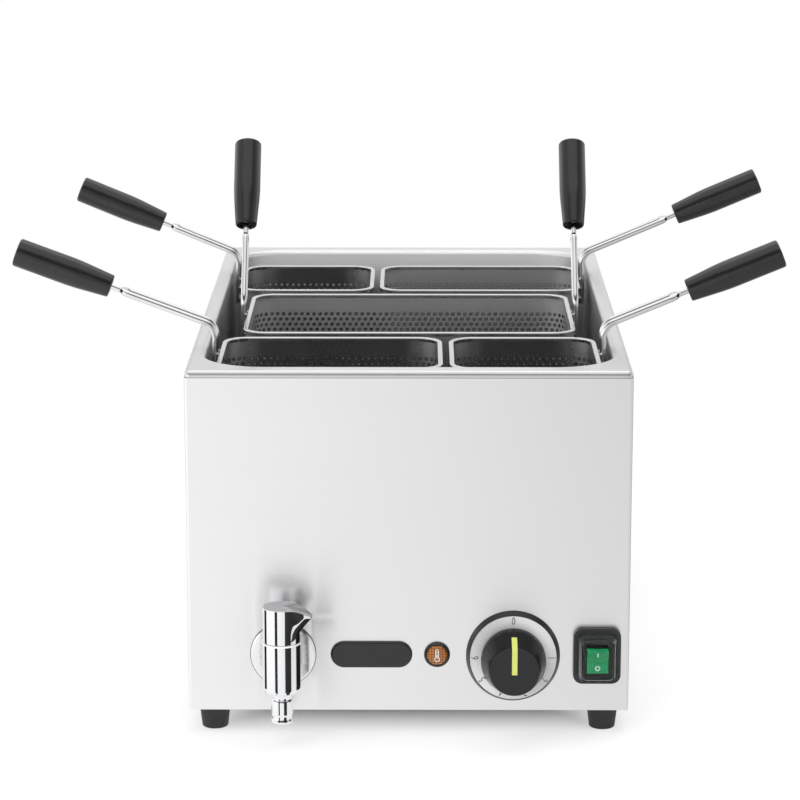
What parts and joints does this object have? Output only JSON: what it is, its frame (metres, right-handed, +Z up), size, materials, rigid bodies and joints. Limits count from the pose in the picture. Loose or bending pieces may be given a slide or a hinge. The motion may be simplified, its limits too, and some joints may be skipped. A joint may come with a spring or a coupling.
{
  "type": "pasta cooker",
  "caption": "Table-top electric pasta cooker: steel casing on feet, deep rounded tank, lift-out perforated baskets on hairpin handles, drain tap, thermostat dial and rocker switch.",
  "frame": {"origin": "on the table top, under the middle of the footprint from the tip of the tap to the end of the cable gland", "axes": "+X to the right seen from the front, +Y from the front panel to the rear panel, +Z up"},
  "size_m": [0.621, 0.608, 0.4173],
  "materials": {
    "casing_steel": "brushed stainless steel",
    "tank_steel": "satin stainless steel",
    "basket_steel": "polished perforated stainless steel",
    "rod_steel": "polished stainless steel",
    "grip_plastic": "glossy black plastic",
    "tap_chrome": "polished chrome plating",
    "pipe_steel": "plain stainless steel",
    "plug_brass": "turned brass",
    "foot_rubber": "matte black rubber",
    "fastener_steel": "bright zinc-plated steel",
    "element_steel": "oxidised heater sheath",
    "bracket_steel": "plain sheet steel",
    "badge_plastic": "glossy black plastic",
    "bezel_plastic": "satin black plastic",
    "lens_amber": "translucent amber lens",
    "scale_metal": "satin aluminium with printed scale",
    "knob_plastic": "satin black plastic",
    "pointer_yellow": "yellow-green inlay",
    "dome_clear": "clear flexible splash cover",
    "rocker_green": "glossy green plastic",
    "insulator_plastic": "moulded insulating plastic",
    "bulb_copper": "bare copper",
    "gland_plastic": "matte black nylon"
  },
  "bodies": {
    "cooker": {"front_panel": "casing_steel", "side_panels": "casing_steel", "rear_panel": "casing_steel", "base_plate": "casing_steel", "casing_screws": "fastener_steel", "tank": "tank_steel", "feet": "foot_rubber", "foot_screws": "fastener_steel", "heating_element": "element_steel", "heater_bars": "bracket_steel", "heater_studs": "fastener_steel", "safety_limiter": "insulator_plastic", "drain_pipe": "pipe_steel", "tap_flange": "tap_chrome", "tap_body": "tap_chrome", "tap_nozzle": "tap_chrome", "badge_plate": "badge_plastic", "pilot_lamp": "bezel_plastic", "lamp_lens": "lens_amber", "dial_ring": "bezel_plastic", "dial_scale": "scale_metal", "thermostat_body": "insulator_plastic", "thermostat_bulb": "bulb_copper", "bulb_clip": "bracket_steel", "switch_housing": "bezel_plastic", "switch_dome": "dome_clear", "terminal_block": "insulator_plastic", "cable_gland": "gland_plastic", "gland_nut": "gland_plastic"},
    "thermostat_knob": {"knob": "knob_plastic", "knob_pointer": "pointer_yellow", "thermostat_shaft": "bracket_steel"},
    "tap_lever": {"tap_handle": "tap_chrome", "tap_plug": "plug_brass"},
    "switch_rocker": {"rocker": "rocker_green"},
    "front_left_basket": {"front_left_rim": "basket_steel", "front_left_wall": "basket_steel", "front_left_bottom": "basket_steel", "front_left_rods": "rod_steel", "front_left_grip": "grip_plastic"},
    "front_right_basket": {"front_right_rim": "basket_steel", "front_right_wall": "basket_steel", "front_right_bottom": "basket_steel", "front_right_rods": "rod_steel", "front_right_grip": "grip_plastic"},
    "middle_basket": {"middle_rim": "basket_steel", "middle_wall": "basket_steel", "middle_bottom": "basket_steel", "middle_rods": "rod_steel", "middle_grips": "grip_plastic"},
    "back_left_basket": {"back_left_rim": "basket_steel", "back_left_wall": "basket_steel", "back_left_bottom": "basket_steel", "back_left_rods": "rod_steel", "back_left_grip": "grip_plastic"},
    "back_right_basket": {"back_right_rim": "basket_steel", "back_right_wall": "basket_steel", "back_right_bottom": "basket_steel", "back_right_rods": "rod_steel", "back_right_grip": "grip_plastic"}
  },
  "joints": [
    {"name": "knob_turn", "type": "hinge", "parent": "cooker", "child": "thermostat_knob", "pos_m": [0.0805, -0.25801, 0.064], "axis": [0, 1, 0], "range_deg": [0, 270]},
    {"name": "tap_turn", "type": "hinge", "parent": "cooker", "child": "tap_lever", "pos_m": [-0.0965, -0.28601, 0.065], "axis": [0, 0, 1], "range_deg": [-90, 0]},
    {"name": "rocker_tip", "type": "hinge", "parent": "cooker", "child": "switch_rocker", "pos_m": [0.145, -0.26501, 0.065], "axis": [-1, 0, 0], "range_deg": [0, 20]},
    {"name": "front_left_lift", "type": "slide", "parent": "cooker", "child": "front_left_basket", "axis": [0, 0, 1], "range_m": [0, 0.26]},
    {"name": "front_right_lift", "type": "slide", "parent": "cooker", "child": "front_right_basket", "axis": [0, 0, 1], "range_m": [0, 0.26]},
    {"name": "middle_lift", "type": "slide", "parent": "cooker", "child": "middle_basket", "axis": [0, 0, 1], "range_m": [0, 0.26]},
    {"name": "back_left_lift", "type": "slide", "parent": "cooker", "child": "back_left_basket", "axis": [0, 0, 1], "range_m": [0, 0.26]},
    {"name": "back_right_lift", "type": "slide", "parent": "cooker", "child": "back_right_basket", "axis": [0, 0, 1], "range_m": [0, 0.26]}
  ]
}
